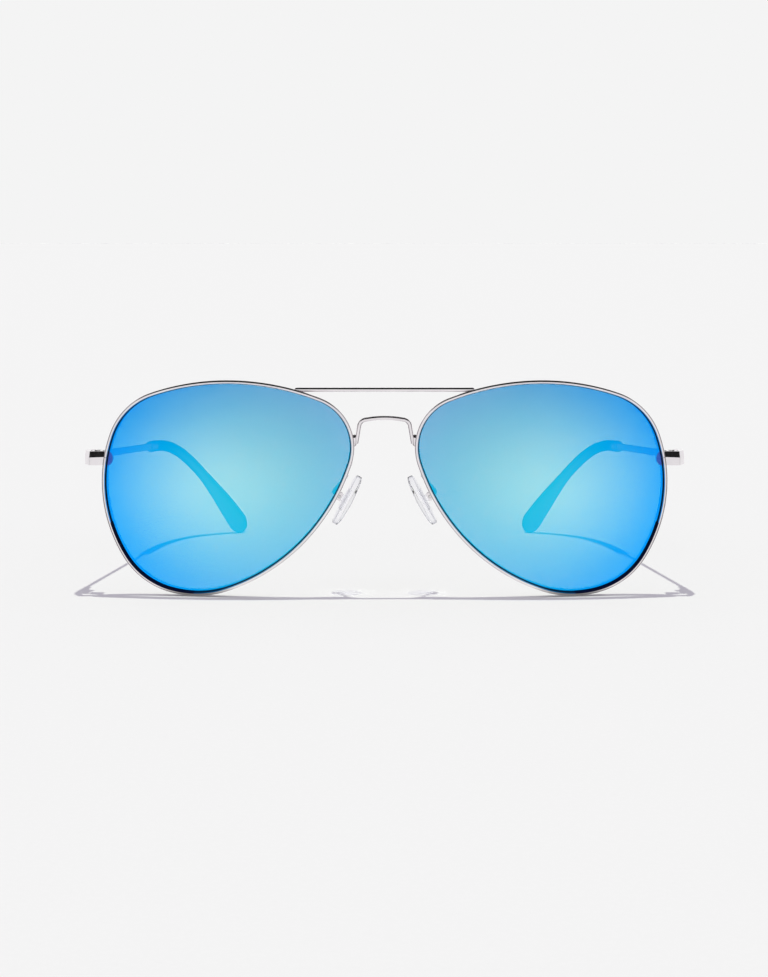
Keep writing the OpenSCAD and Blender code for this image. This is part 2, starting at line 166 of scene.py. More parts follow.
def make_piece(name, points, faces, side, body, materials, replaces=(), pick=None,
               crease=EDGE_ANGLE):
    """A smooth-shaded mesh from points in millimetres on the left side, mirrored for side -1."""
    verts = [(side * p[0] * MM, (p[1] + SHIFT) * MM, p[2] * MM) for p in points]
    if side < 0:
        faces = [tuple(reversed(f)) for f in faces]
    mesh = bpy.data.meshes.new(name)
    mesh.from_pydata(verts, [], faces)
    for m in materials:
        mesh.materials.append(m)
    if pick:
        for polygon, index in zip(mesh.polygons, pick):
            polygon.material_index = index
    mesh.polygons.foreach_set("use_smooth", [True] * len(mesh.polygons))
    mesh.set_sharp_from_angle(angle=math.radians(crease))
    mesh.validate()
    mesh.update()
    piece = bpy.data.objects.new(name, mesh)
    bpy.context.scene.collection.objects.link(piece)
    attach(piece, body)
    if replaces:
        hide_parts(*replaces)
    return piece


def skin(rings, closed=False, caps=True):
    """Faces over rings of equal length, listed one after another. closed joins the last to the first."""
    n = len(rings[0])
    points = [p for ring in rings for p in ring]
    faces = []
    last = len(rings) if closed else len(rings) - 1
    for i in range(last):
        a, b = i * n, ((i + 1) % len(rings)) * n
        for k in range(n):
            j = (k + 1) % n
            faces.append((a + k, a + j, b + j, b + k))
    if caps and not closed:
        faces.append(tuple(reversed(range(n))))
        faces.append(tuple((len(rings) - 1) * n + k for k in range(n)))
    return points, faces


def superellipse(half_x, half_z, power, count):
    """A closed section: power 2 is an ellipse, higher is a rectangle with rounder corners."""
    out = []
    for k in range(count):
        a = 360 * k / count
        c, s = cos(a), sin(a)
        out.append((half_x * math.copysign(abs(c) ** (2 / power), c),
                    half_z * math.copysign(abs(s) ** (2 / power), s)))
    return out


def rounded(corners, steps=5):
    """Rounds a closed outline. Each corner is (x, y, radius)."""
    out = []
    for i, (x, y, r) in enumerate(corners):
        here = Vector((x, y))
        to_last = (Vector(corners[i - 1][:2]) - here).normalized()
        to_next = (Vector(corners[(i + 1) % len(corners)][:2]) - here).normalized()
        half = to_last.angle(to_next) / 2
        middle = here + (to_last + to_next).normalized() * (r / math.sin(half))
        begin = here + to_last * (r / math.tan(half)) - middle
        end = here + to_next * (r / math.tan(half)) - middle
        for k in range(steps + 1):
            t = k / steps
            out.append(middle + (begin * (1 - t) + end * t).normalized() * r)
    return out


def bezier(points, t):
    a, b, c, d = points
    return a * (1 - t) ** 3 + b * (3 * (1 - t) ** 2 * t) + c * (3 * (1 - t) * t * t) + d * t ** 3


def heading(curve, t):
    step = 0.001
    return (curve(t + step) - curve(t - step)).normalized()


# ---- The lens outline and its curved frame ----

def closed_radii():
    """The arc radii, with the two open ones solved so that the outline closes."""
    dx = [cos(ARC_FROM[i + 1]) - cos(ARC_FROM[i]) for i in range(7)]
    dy = [sin(ARC_FROM[i + 1]) - sin(ARC_FROM[i]) for i in range(7)]
    sum_x = sum(r * d for r, d in zip(ARC_BASE, dx) if r)
    sum_y = sum(r * d for r, d in zip(ARC_BASE, dy) if r)
    det = dx[1] * dy[5] - dx[5] * dy[1]
    radii = list(ARC_BASE)
    radii[1] = (dx[5] * sum_y - sum_x * dy[5]) / det
    radii[5] = (sum_x * dy[1] - dx[1] * sum_y) / det
    return radii


ARC_R = closed_radii()
ARC_MID = [Vector(ARC_START)]
for _i in range(1, 7):
    _a = ARC_FROM[_i]
    ARC_MID.append(ARC_MID[-1] + (ARC_R[_i - 1] - ARC_R[_i]) * Vector((cos(_a), sin(_a))))


def outline(angle, grow=0.0):
    """The outline's point whose outward direction is angle, moved out by grow."""
    angle = (angle - ARC_FROM[0]) % 360 + ARC_FROM[0]
    i = max(k for k in range(7) if ARC_FROM[k] <= angle)
    return ARC_MID[i] + (ARC_R[i] + grow) * Vector((cos(angle), sin(angle)))


LENS_PLACE = (Matrix.Translation((LENS_PITCH / 2, 0, LENS_HEIGHT))
              @ turn(LENS_LEAN, "X") @ turn(LENS_WRAP, "Z"))


def on_lens(flat, radius):
    """Point of the lens frame at this radius from the lens sphere's centre, through a flat outline point."""
    u, v = flat
    depth = math.sqrt(FRONT_R ** 2 - u * u - v * v)
    k = radius / FRONT_R
    return LENS_PLACE @ Vector((u * k, CURVE_R - depth * k, v * k))


# ---- Materials ----

class Shader:
    """A material's node tree, with short calls for the nodes used here."""

    def __init__(self, name):
        self.material = bpy.data.materials.new(name)
        self.material.use_nodes = True
        self.tree = self.material.node_tree
        self.tree.nodes.clear()

    def node(self, kind, inputs=None, **settings):
        n = self.tree.nodes.new("ShaderNode" + kind)
        for key, value in settings.items():
            setattr(n, key, value)
        for key, value in (inputs or {}).items():
            self.feed(n.inputs[key], value)
        return n

    def feed(self, socket, value):
        if isinstance(value, bpy.types.NodeSocket):
            self.tree.links.new(value, socket)
        else:
            socket.default_value = value

    def math(self, operation, a, b=0.0):
        return self.node("Math", {0: a, 1: b}, operation=operation).outputs[0]

    def noise(self, scale, detail=3.0, rough=0.5):
        place = self.node("TexCoord").outputs["Object"]
        n = self.node("TexNoise", {"Vector": place, "Scale": scale, "Detail": detail, "Roughness": rough})
        return n.outputs["Fac"]

    def ranged(self, value, low, high, from_low=0.0, from_high=1.0):
        n = self.node("MapRange", {"Value": value, "From Min": from_low, "From Max": from_high,
                                   "To Min": low, "To Max": high})
        return n.outputs["Result"]

    def ramp(self, value, *stops):
        n = self.node("ValToRGB", {"Fac": value})
        marks = n.color_ramp.elements
        while len(marks) < len(stops):
            marks.new(0.5)
        for mark, (place, colour) in zip(marks, stops):
            mark.position = place
            mark.color = (*colour, 1)
        return n.outputs["Color"]

    def mix(self, how, share, a, b):
        n = self.node("Mix", data_type="RGBA", blend_type=how)
        self.feed(n.inputs[0], share)
        self.feed(n.inputs[6], a)
        self.feed(n.inputs[7], b)
        return n.outputs[2]

    def bump(self, height, strength, distance):
        n = self.node("Bump", {"Height": height, "Strength": strength, "Distance": distance})
        return n.outputs["Normal"]

    def through_lens(self):
        """1 where the surface is seen through a lens, 0 elsewhere."""
        return self.math("GREATER_THAN", self.node("LightPath").outputs["Transparent Depth"], 0.5)

    def transparent(self, colour=(1, 1, 1, 1)):
        return self.node("BsdfTransparent", {"Color": colour}).outputs[0]

    def shader_mix(self, share, first, second):
        """The first shader, with a share of the second."""
        return self.node("MixShader", {0: share, 1: first, 2: second}).outputs[0]

    def surface(self, socket):
        out = self.node("OutputMaterial")
        self.tree.links.new(socket, out.inputs["Surface"])
        return self.material


def metal(name, light, dark, rough_low, rough_high, grain=0.02, dims=True, rim_shaded_near_floor=False):
    """Polished or brushed metal: a mottled tint, uneven polish and a fine grain.

    dims: it loses its shine when seen through a lens, and gets painted shade by facing in its place.
    rim_shaded_near_floor: the rim's own metal, with painted shade that darkens it near the floor."""
    s = Shader(name)
    cloud = s.noise(220, 3)
    fine = s.noise(6000, 2)
    scuff = s.noise(1500, 4, 0.6)
    colour = s.ramp(cloud, (0.3, dark), (0.7, light))
    if rim_shaded_near_floor:
        # painted shade: the rim's metal is darker within a few millimetres of the floor
        height = s.node("SeparateXYZ", {0: s.node("TexCoord").outputs["Object"]}).outputs[2]
        low = s.ranged(height, 0.24, 1.0, 0.6 * MM, 2.6 * MM)
        grey = s.node("CombineColor", {0: low, 1: low, 2: low}).outputs[0]
        colour = s.mix("MULTIPLY", 1.0, colour, grey)
    shiny = 1.0
    if dims:
        behind = s.through_lens()
        shiny = s.math("SUBTRACT", 1.0, behind)
        upright = s.node("SeparateXYZ", {0: s.node("NewGeometry").outputs["Normal"]}).outputs[2]
        # painted shade and light by facing: lighter on upright sides, darker on tops and bottoms
        painted_facing_shade = s.ramp(s.math("ABSOLUTE", upright), (0.15, (0.26, 0.26, 0.30)), (0.6, (0.01, 0.01, 0.02)))
        colour = s.mix("MIX", behind, colour, painted_facing_shade)
    rough = s.ranged(scuff, rough_low, rough_high, 0.35, 0.65)
    normal = s.bump(fine, grain, 0.00002)
    body = s.node("BsdfPrincipled", {"Base Color": colour, "Metallic": shiny, "Roughness": rough,
                                     "Normal": normal, "Specular IOR Level": s.math("MULTIPLY", shiny, 0.5)})
    if not rim_shaded_near_floor:
        return s.surface(body.outputs["BSDF"])
    # the rim's hollow is not drawn when the lens' own edge is looked through
    hidden = s.math("MULTIPLY", s.through_lens(), s.node("NewGeometry").outputs["Backfacing"])
    return s.surface(s.shader_mix(hidden, body.outputs["BSDF"], s.transparent()))


def painted_lip_shade(name):
    """The wall of the rim's lip: painted shade, nearly black, with a painted blue cast from the lens."""
    s = Shader(name)
    colour = s.ramp(s.noise(900, 3), (0.3, (0.001, 0.002, 0.014)), (0.7, (0.002, 0.003, 0.026)))
    body = s.node("BsdfPrincipled", {"Base Color": colour, "Roughness": 0.6, "Specular IOR Level": 0.03})
    return s.surface(body.outputs["BSDF"])


def inner_metal(name, colour):
    """The rim's inner wall and groove: silver, and not drawn when seen through the lens' own edge."""
    s = Shader(name)
    tone = s.ramp(s.noise(220, 3), (0.3, tuple(0.8 * c for c in colour)), (0.7, colour))
    body = s.node("BsdfPrincipled", {"Base Color": tone, "Metallic": 1.0, "Roughness": 0.25})
    return s.surface(s.shader_mix(s.through_lens(), body.outputs["BSDF"], s.transparent()))


def mirrored_ray(s):
    """1 for rays that left a shiny surface by reflection, 0 for all others."""
    path = s.node("LightPath").outputs
    return s.math("MULTIPLY", path["Is Glossy Ray"], s.math("SUBTRACT", 1.0, path["Is Transmission Ray"]))


def room_light(s, way):
    """What shiny surfaces see in a direction: pale to the front and back, greyer to the sides, and
    dark above a height that is lower to the front."""
    split = s.node("SeparateXYZ", {0: way}).outputs
    flat = s.math("SUBTRACT", 1.0, s.math("MULTIPLY", split[2], split[2]))
    level = s.math("SQRT", s.math("MAXIMUM", flat, 1e-4))
    ahead = s.math("DIVIDE", split[1], level)
    front = s.ranged(ahead, 1.0, ROOM_SIDE, -0.6, -0.48)
    behind = s.ranged(ahead, ROOM_SIDE, 1.0, 0.30, 0.45)
    limit = s.ranged(ahead, 0.36, 0.66, -0.9, 0.3)
    below = s.ranged(s.math("SUBTRACT", split[2], limit), 1.0, 0.0, -0.03, 0.03)
    return s.math("MAXIMUM", s.math("MULTIPLY", s.math("MAXIMUM", front, behind), below), ROOM_DARK)


def lens_coat(name):
    """Mirror coating: blue at the temple, greener to the nose, most see-through in the middle."""
    s = Shader(name)
    place = s.node("Attribute", attribute_name="lens_place").outputs["Vector"]
    split = s.node("SeparateXYZ", {0: place})
    out, up = split.outputs[0], split.outputs[1]

    def total(start, *terms):
        """start plus each (weight, value, value ...) product."""
        value = start
        for term in terms:
            product = term[0]
            for part in term[1:]:
                product = s.math("MULTIPLY", part, product)
            value = s.math("ADD", product, value)
        return value

    du = s.math("DIVIDE", s.math("SUBTRACT", out, CLEAREST_AT), CLEAREST_WIDE)
    dv = s.math("DIVIDE", up, CLEAREST_TALL)
    glow = s.math("EXPONENT", total(0.0, (-1.0, du, du), (-1.0, dv, dv)))
    # how much light comes through, as a red share; green and blue pass less
    through = s.math("MAXIMUM", total(0.074, (0.271, glow), (-0.094, out), (-0.012, up)), 0.01)
    extra = s.math("MAXIMUM", total(0.045, (0.055, out)), 0.0)
    tint = s.node("CombineColor", {0: through, 1: total(0.0, (0.52, through), (1.0, extra)),
                                   2: s.math("MULTIPLY", through, 0.22)}).outputs[0]
    green = total(0.457, (0.090, glow), (-0.021, out), (-0.066, up), (-0.046, out, out), (-0.1, up, up),
                  (-0.9, extra))
    blue = total(0.763, (0.112, out), (-0.099, up), (0.058, out, out))
    mirror = s.node("CombineColor", {0: 0.0, 1: green, 2: blue}).outputs[0]
    # a darker violet patch on the coat by the rim lock
    lock_u = s.math("DIVIDE", s.math("SUBTRACT", out, LOCK_PATCH[0]), LOCK_PATCH[2])
    lock_v = s.math("DIVIDE", s.math("SUBTRACT", up, LOCK_PATCH[1]), LOCK_PATCH[3])
    lock_patch = s.ranged(total(0.0, (1.0, lock_u, lock_u), (1.0, lock_v, lock_v)), 0.9, 0.0, 0.7, 1.1)
    mirror = s.mix("MIX", lock_patch, mirror, (0.04, 0.075, 0.40, 1))
    # at a slant the coating turns violet and passes less
    slant = s.node("LayerWeight", {"Blend": 0.5}).outputs["Facing"]
    steep = s.ranged(slant, 0, 1, 0.45, 0.95)
    mirror = s.mix("MIX", steep, mirror, (0.20, 0.16, 0.62, 1))
    # seen from the back there is no mirror, only the tint
    mirror = s.mix("MIX", s.node("NewGeometry").outputs["Backfacing"], mirror, (0, 0, 0, 1))
    haze = s.ranged(s.noise(150, 2), 0.02, 0.03, 0.4, 0.6)
    shine = s.node("BsdfAnisotropic", {"Color": mirror, "Roughness": haze}).outputs[0]
    # the thin lens itself throws next to no shadow
    tint = s.mix("MIX", s.node("LightPath").outputs["Is Shadow Ray"], tint, (0.94, 0.97, 1.0, 1))
    return s.surface(s.node("AddShader", {0: shine, 1: s.transparent(tint)}).outputs[0])


def lens_body(name):
    """The plastic behind the coating: nearly clear, with a faint painted reflection of the room, given off as
    emission and seen from the back.
    """
    s = Shader(name)
    tone = s.ramp(s.noise(60, 2), (0.3, (0.96, 0.96, 0.97)), (0.7, (1.0, 1.0, 1.0)))
    # painted reflection: the room's brightness by the reflected direction, given off as emission, not
    # reflected
    seen = room_light(s, s.node("TexCoord").outputs["Reflection"])
    shine = s.node("Emission", {"Color": (0.8, 0.85, 0.9, 1), "Strength": seen}).outputs[0]
    s.material.cycles.emission_sampling = "NONE"
    first = s.math("SUBTRACT", 1.0, s.through_lens())
    outside = s.math("SUBTRACT", 1.0, s.node("NewGeometry").outputs["Backfacing"])
    glance = s.node("Fresnel", {"IOR": 1.5}).outputs[0]
    share = s.math("MULTIPLY", glance, s.math("MULTIPLY", first, outside))
    return s.surface(s.shader_mix(share, s.transparent(tone), shine))


def clear_silicone(name):
    """Clear soft pad: water-clear when faced, with painted grey shade along its edges, and a pale ringed
    shadow.
    """
    s = Shader(name)
    swirl = s.noise(350, 3)
    slant = s.node("LayerWeight", {"Blend": 0.5}).outputs["Facing"]
    # painted shade: grey where the pad is seen at a slant
    edge = s.ramp(slant, (0.0, (0.99, 0.99, 1.0)), (0.35, (0.94, 0.94, 0.96)), (0.6, (0.50, 0.50, 0.56)),
                  (0.8, (0.66, 0.66, 0.70)), (1.0, (0.85, 0.85, 0.88)))
    colour = s.mix("MULTIPLY", 1.0, edge, s.ramp(swirl, (0.3, (0.96, 0.96, 0.98)), (0.7, (1.0, 1.0, 1.0))))
    normal = s.bump(s.noise(900, 2), 0.05, 0.00005)
    body = s.node("BsdfPrincipled", {"Base Color": colour, "Roughness": s.ranged(swirl, 0.04, 0.10, 0.3, 0.7),
                                     "IOR": 1.12, "Transmission Weight": 1.0, "Normal": normal})
    cast = s.ramp(slant, (0.0, (0.97, 0.97, 0.98)), (0.5, (0.90, 0.90, 0.92)), (0.8, (0.45, 0.45, 0.50)))
    shadow = s.node("LightPath").outputs["Is Shadow Ray"]
    return s.surface(s.shader_mix(shadow, body.outputs["BSDF"], s.transparent(cast)))


def tip_plastic(name):
    """Smooth black sleeve with a soft sheen and faint mould marks."""
    s = Shader(name)
    colour = s.ramp(s.noise(400, 4), (0.3, (0.018, 0.019, 0.021)), (0.7, (0.030, 0.031, 0.034)))
    rough = s.ranged(s.noise(1200, 3), 0.22, 0.30, 0.35, 0.65)
    normal = s.bump(s.noise(2500, 2), 0.02, 0.00005)
    # through a lens the sheen is gone, and painted light takes its place: a painted highlight where the
    # sleeve faces the camera, painted shade towards its edges
    behind = s.through_lens()
    slant = s.node("LayerWeight", {"Blend": 0.5}).outputs["Facing"]
    flat = s.ramp(slant, (0.0, (0.17, 0.17, 0.18)), (0.25, (0.12, 0.12, 0.13)), (0.75, (0.01, 0.01, 0.012)))
    sheen = s.math("SUBTRACT", 1.0, behind)
    body = s.node("BsdfPrincipled", {"Base Color": s.mix("MIX", behind, colour, flat), "Roughness": rough,
                                     "Normal": normal, "Specular IOR Level": s.math("MULTIPLY", sheen, 0.5),
                                     "Coat Weight": s.math("MULTIPLY", sheen, 0.3), "Coat Roughness": 0.12})
    return s.surface(body.outputs["BSDF"])


PALE, DEEP = (0.79, 0.755, 0.775), (0.71, 0.675, 0.70)
silver = metal("silver_plate", PALE, DEEP, 0.06, 0.14)
rim_silver = metal("rim_silver_plate", PALE, DEEP, 0.06, 0.14, dims=False, rim_shaded_near_floor=True)
steel = metal("screw_steel_finish", (0.66, 0.65, 0.65), (0.56, 0.56, 0.56), 0.16, 0.30, 0.05)
lip_shade = painted_lip_shade("painted_shade_lip")
inner_silver = inner_metal("inner_silver_plate", DEEP)
coat = lens_coat("blue_mirror_coat")
backing = lens_body("lens_tint_painted_reflection")
silicone = clear_silicone("clear_silicone")
black_tip = tip_plastic("black_tip")


# ---- Rims and lenses ----

def rim_section():
    """The rim wire's section as (grow, radius): a soft outer face, a lip and a groove for the lens.
    The last point splits the lip's inner wall in two."""
    soft = rounded([(0, FRONT_R, 0.10), (RIM_WIRE, FRONT_R, 0.40), (RIM_WIRE, RIM_BACK_R, 0.20),
                    (0.25, RIM_BACK_R, 0.08), (0.05, GROOVE_BACK_R, 0.04), (GROOVE_DEEP, GROOVE_BACK_R, 0.06),
                    (GROOVE_DEEP, GROOVE_FRONT_R, 0.06), (0, GROOVE_FRONT_R, 0.04)])
    return [tuple(p) for p in soft] + [(0, LIP_SPLIT_R)]


def cut_angle():
    """Where the outline crosses the saw cut's height, on the temple side."""
    low, high = 0.0, 60.0
    for _ in range(40):
        middle = (low + high) / 2
        if outline(middle, RIM_WIRE / 2)[1] < LOCK_Z - LENS_HEIGHT:
            low = middle
        else:
            high = middle
    return low


def build_rim(word, side):
    section = rim_section()
    at = cut_angle()
    half_gap = math.degrees(RIM_CUT / 2 / ARC_R[1])
    stations = [at + half_gap] + [at + i for i in range(1, 360)] + [at + 360 - half_gap]
    rings = [[on_lens(outline(a, g), r) for g, r in section] for a in stations]
    points, faces = skin(rings)
    n = len(section)
    # 0 the silver outside, 1 the lip's painted shade, 2 the silver inside
    pick = []
    for a in stations[1:]:
        deep = (a - LIP_SHADE_FROM) % 360 < LIP_SHADE_TO - LIP_SHADE_FROM
        for k in range(n):
            g = (section[k][0] + section[(k + 1) % n][0]) / 2
            r = (section[k][1] + section[(k + 1) % n][1]) / 2
            if g < 0.03 and r > GROOVE_FRONT_R:
                pick.append(1 if deep or r < LIP_SPLIT_R else 0)
            else:
                pick.append(2 if g < GROOVE_DEEP + 0.02 and r < GROOVE_FRONT_R + 0.03 else 0)
    pick += [0, 0]
    faces = [tuple(reversed(f)) for f in faces]
    return make_piece("eyewire_" + word, points, faces, side, "front", [rim_silver, lip_shade, inner_silver],
                      ["rim_" + word], pick)


def build_lens(word, side):
    rounds, turns = 22, 120
    angles = [360 * k / turns for k in range(turns)]
    edge = -LENS_GAP
    steps = ([(i / rounds, edge, CURVE_R) for i in range(1, rounds + 1)]
             + [(1, edge, GROOVE_FRONT_R - TONGUE_GAP), (1, TONGUE_DEEP, GROOVE_FRONT_R - TONGUE_GAP),
                (1, TONGUE_DEEP, GROOVE_BACK_R + TONGUE_GAP), (1, edge, GROOVE_BACK_R + TONGUE_GAP)]
             + [(i / rounds, edge, LENS_BACK_R) for i in range(rounds, 0, -1)])
    points, place = [], []
    for share, grow, radius in steps:
        for a in angles:
            flat = outline(a, grow) * share
            points.append(on_lens(flat, radius))
            place.append((flat[0] / LENS_UNIT, flat[1] / LENS_UNIT, 0))
    faces, pick = [], []
    for i in range(len(steps) - 1):
        for k in range(turns):
            j = (k + 1) % turns
            faces.append((i * turns + k, (i + 1) * turns + k, (i + 1) * turns + j, i * turns + j))
            pick.append(0 if i < rounds - 1 else 1)
    for radius, ring, material in ((CURVE_R, 0, 0), (LENS_BACK_R, len(steps) - 1, 1)):
        points.append(on_lens((0, 0), radius))
        place.append((0, 0, 0))
        hub = len(points) - 1
        for k in range(turns):
            j = (k + 1) % turns
            a, b = ring * turns + k, ring * turns + j
            faces.append((hub, a, b) if ring == 0 else (hub, b, a))
            pick.append(material)
    piece = make_piece("mirror_lens_" + word, points, faces, side, "front", [coat, backing],
                       ["lens_" + word], pick)
    data = piece.data.attributes.new("lens_place", "FLOAT_VECTOR", "POINT")
    data.data.foreach_set("vector", [x for p in place for x in p])
    piece.visible_diffuse = False
    return piece


# ---- Temples ----

ARM_TURN = Matrix.Translation(ARM_START) @ turn(ARM_IN, "Z") @ turn(-ARM_FALL, "X")
ARM_DIR = (ARM_TURN @ Vector((0, 1, 0)) - ARM_START)
SLEEVE_FROM = ARM_START + (COLLAR_AT + COLLAR_LONG + 0.03) * ARM_DIR
SLEEVE_CURVE = (SLEEVE_FROM, SLEEVE_FROM + 20.2 * ARM_DIR, Vector((55.8, 109.8, 26.3)),
                Vector((40.4, 119.5, 0.43)))
FLAT_SIDE = Vector((-0.55, -0.83, 0))
ROUND_AT = 0.955        # where along the sleeve its rounded end begins


def sleeve(t):
    return bezier(SLEEVE_CURVE, t)


def sleeve_axes(t):
    ahead = heading(sleeve, t)
    thin = (FLAT_SIDE - FLAT_SIDE.dot(ahead) * ahead).normalized()
    return ahead.cross(thin), thin


def sleeve_ring(t, half_wide, half_thin, count):
    wide, thin = sleeve_axes(t)
    return [sleeve(t) + x * wide + z * thin for x, z in superellipse(half_wide, half_thin, 2, count)]


def build_arm(word, side):
    """The temple wire: a rounded flat bar that narrows behind the hinge, then the sleeve's core."""
    count = 40
    rings = []
    stops = [0.0, 0.12, 0.4, 1.5, 3] + [3 + 0.5 * i for i in range(1, 13)] + [12 + 3 * i for i in range(16)]
    stops = [s for s in stops if s < COLLAR_AT - 0.2] + [COLLAR_AT - 0.12, COLLAR_AT]
    for s in stops:
        tall = blend(ARM_FRONT_TALL, ARM_TALL, (s - 3) / 6) / 2
        ends = 0.1 if s in (0.0, COLLAR_AT) else 0
        section = superellipse(ARM_THICK / 2 - ends, tall - ends, 9, count)
        ring = [ARM_TURN @ Vector((x, s, z)) for x, z in section]
        if s < 1:       # the front end is cut square across
            ring = [p + ARM_DIR * ((ARM_START[1] + s - p[1]) / ARM_DIR[1]) for p in ring]
        rings.append(ring)
    for s in (COLLAR_AT + 0.01, COLLAR_AT + COLLAR_LONG - 0.2):
        section = superellipse(ARM_THICK / 2 - 0.12, ARM_TALL / 2 - 0.12, 6, count)
        rings.append([ARM_TURN @ Vector((x, s, z)) for x, z in section])
    # the core's rings start where the bar's section points: local x and z of the arm
    for i in range(12):
        t = CORE_END * i / 11
        wide, thin = sleeve_axes(t)
        local_x = (ARM_TURN.to_3x3() @ Vector((1, 0, 0)))
        across = (local_x - local_x.dot(heading(sleeve, t)) * heading(sleeve, t)).normalized()
        up = across.cross(heading(sleeve, t))
        rings.append([sleeve(t) + CORE_R * (cos(360 * k / count) * across + sin(360 * k / count) * up)
                      for k in range(count)])
    points, faces = skin(rings)
    return make_piece("temple_wire_" + word, points, faces, side, "temple_" + word, [silver],
                      ["temple_arm_" + word], crease=40)


def build_tip(word, side):
    """The sleeve: round behind the collar, widening to a flat rounded end, with a bore for the core."""
    count = 40

    def flared(t, end):
        return blend(SLEEVE_D, end, (t - FLARE_FROM) / FLARE_LONG) / 2

    outer = []
    for t, share in ((0, 0.80), (0.001, 0.90), (0.003, 0.97), (0.006, 1.0)):
        outer.append(sleeve_ring(t, SLEEVE_D / 2 * share, SLEEVE_D / 2 * share, count))
    straight, tail = 60, 14
    for i in range(1, straight + 1):
        t = ROUND_AT * i / straight
        outer.append(sleeve_ring(t, flared(t, PADDLE_WIDE), flared(t, PADDLE_THICK), count))
    for i in range(1, tail + 1):
        t = ROUND_AT + (1 - ROUND_AT) * sin(88 * i / tail)
        small = math.sqrt(max(0, 1 - ((t - ROUND_AT) / (1 - ROUND_AT)) ** 2))
        outer.append(sleeve_ring(t, small * flared(t, PADDLE_WIDE), small * flared(t, PADDLE_THICK), count))
    bore_r = CORE_R + 0.06
    bore = [sleeve_ring(CORE_END * i / 16 + 0.0005, bore_r, bore_r, count) for i in range(16, -1, -1)]
    points, faces = skin(bore + outer)
    return make_piece("tip_sleeve_" + word, points, faces, side, "temple_" + word, [black_tip],
                      ["temple_tip_" + word], crease=50)


# ---- Nose pads ----

PAD_PLACE = Matrix.Translation(PAD_MID) @ turn(PAD_LEAN, "Y") @ turn(PAD_SPLAY, "Z")
BOX_END = Vector((PAD_PIN_X + 1.1, 0, 0.3))
PAD_ARM_END = PAD_PLACE @ BOX_END
PAD_ARM_CURVE = (Vector((8.95, 4.0, 29.3)), Vector((8.2, 8.5, 28.4)), Vector((13.1, 12.0, 24.3)),
                 PAD_ARM_END + Vector((0.2, 0, 0.02)))


def build_pad(word, side):
    """Clear pad: egg outline, domed towards the nose, flatter behind, soft all round the edge."""
    turns, rounds = 64, 14
    rings = []
    for i in range(rounds + 1):
        slope = 2 + 176 * i / rounds
        share = sin(slope) ** (2 / 7)
        tilt = math.copysign(abs(cos(slope)) ** (2 / 7), cos(slope))
        ring = []
        for k in range(turns):
            a = 360 * k / turns
            y = PAD_WIDE / 2 * cos(a) * (1 - 0.12 * sin(a)) * share
            z = PAD_LONG / 2 * sin(a) * share
            front = PAD_FRONT + PAD_DOME_R - math.sqrt(PAD_DOME_R ** 2 - y * y - z * z)
            x = (front + PAD_BACK) / 2 - tilt * (PAD_BACK - front) / 2
            ring.append(PAD_PLACE @ Vector((x, y, z)))
        rings.append(ring)
    points, faces = skin(rings)
    return make_piece("silicone_pad_" + word, points, faces, side, "pad_" + word, [silicone],
                      ["nose_pad_" + word])


def build_pad_arm(word, side):
    """The thin wire from the rim's back to the pad box."""
    count, parts = 20, 36

    def curve(t):
        return bezier(PAD_ARM_CURVE, t)

    rings = []
    for i in range(parts + 1):
        t = i / parts
        ahead = heading(curve, t)
        lean = Vector((0.8, 0, -0.6))
        thin = (lean - lean.dot(ahead) * ahead).normalized()
        wide = ahead.cross(thin)
        rings.append([curve(t) + PAD_ARM_R * (cos(360 * k / count) * wide + sin(360 * k / count) * thin)
                      for k in range(count)])
    points, faces = skin(rings)
    return make_piece("pad_wire_" + word, points, faces, side, "front", [silver],
                      ["pad_arm_" + word], crease=60)


SOLDER = {              # middle and half sizes of the solder beads on the rims
    "bridge_solder": ((7.05, 3.3, 37.3), (0.72, 0.85, 1.45)),
    "pad_wire_solder": ((8.95, 4.15, 29.25), (0.55, 0.60, 0.75)),
}


def build_solder(kind, word, side):
    """A bead of solder: a slightly squared, uneven egg."""
    (mx, my, mz), (rx, ry, rz) = SOLDER[kind]
    turns, rounds = 20, 12
    rings = []
    for i in range(rounds + 1):
        slope = 3 + 174 * i / rounds
        section = superellipse(rx, ry, 2.4, turns)
        swell = 1 + 0.06 * sin(3 * slope)
        rings.append([Vector((mx + x * sin(slope) * swell, my + y * sin(slope) * swell, mz + rz * cos(slope)))
                      for x, y in section])
    points, faces = skin(rings)
    faces = [tuple(reversed(f)) for f in faces]
    return make_piece(kind + "_" + word, points, faces, side, "front", [silver], crease=80)


for _word, _side in SIDES.items():
    for _kind in SOLDER:
        build_solder(_kind, _word, _side)
    build_rim(_word, _side)
    build_lens(_word, _side)
    build_arm(_word, _side)
    build_tip(_word, _side)
    build_pad(_word, _side)
    build_pad_arm(_word, _side)


# ---- CAD nodes that stay: eased edges and a real finish ----

def finish_node(name, material, edge):
    node = frame["nodes"][name]
    node.data.materials.clear()
    node.data.materials.append(material)
    weld = node.modifiers.new("weld", "WELD")
    weld.merge_threshold = 0.0002 * MM
    if edge:
        bevel = node.modifiers.new("edge", "BEVEL")
        bevel.width = edge * MM
        bevel.segments = 2
        bevel.limit_method = "ANGLE"
        bevel.angle_limit = math.radians(EDGE_ANGLE)


STAYING = {
    "pad_box": (silver, 0.05), "pad_screw": (steel, 0.03), "pad_insert": (silicone, 0.03),
    "rim_lock_upper": (silver, 0.08), "rim_lock_lower": (silver, 0.08), "rim_lock_screw": (steel, 0.03),
    "end_piece": (silver, 0.06), "hinge_front": (silver, 0.06), "hinge_screw": (steel, 0.03),
    "hinge_temple": (silver, 0.05), "tip_collar": (silver, 0.08),
}
for _kind, (_finish, _edge) in STAYING.items():
    for _word in SIDES:
        finish_node(_kind + "_" + _word, _finish, _edge)
finish_node("brow_bar", silver, 0)
finish_node("bridge", silver, 0)


# ---- Floor, light and camera ----

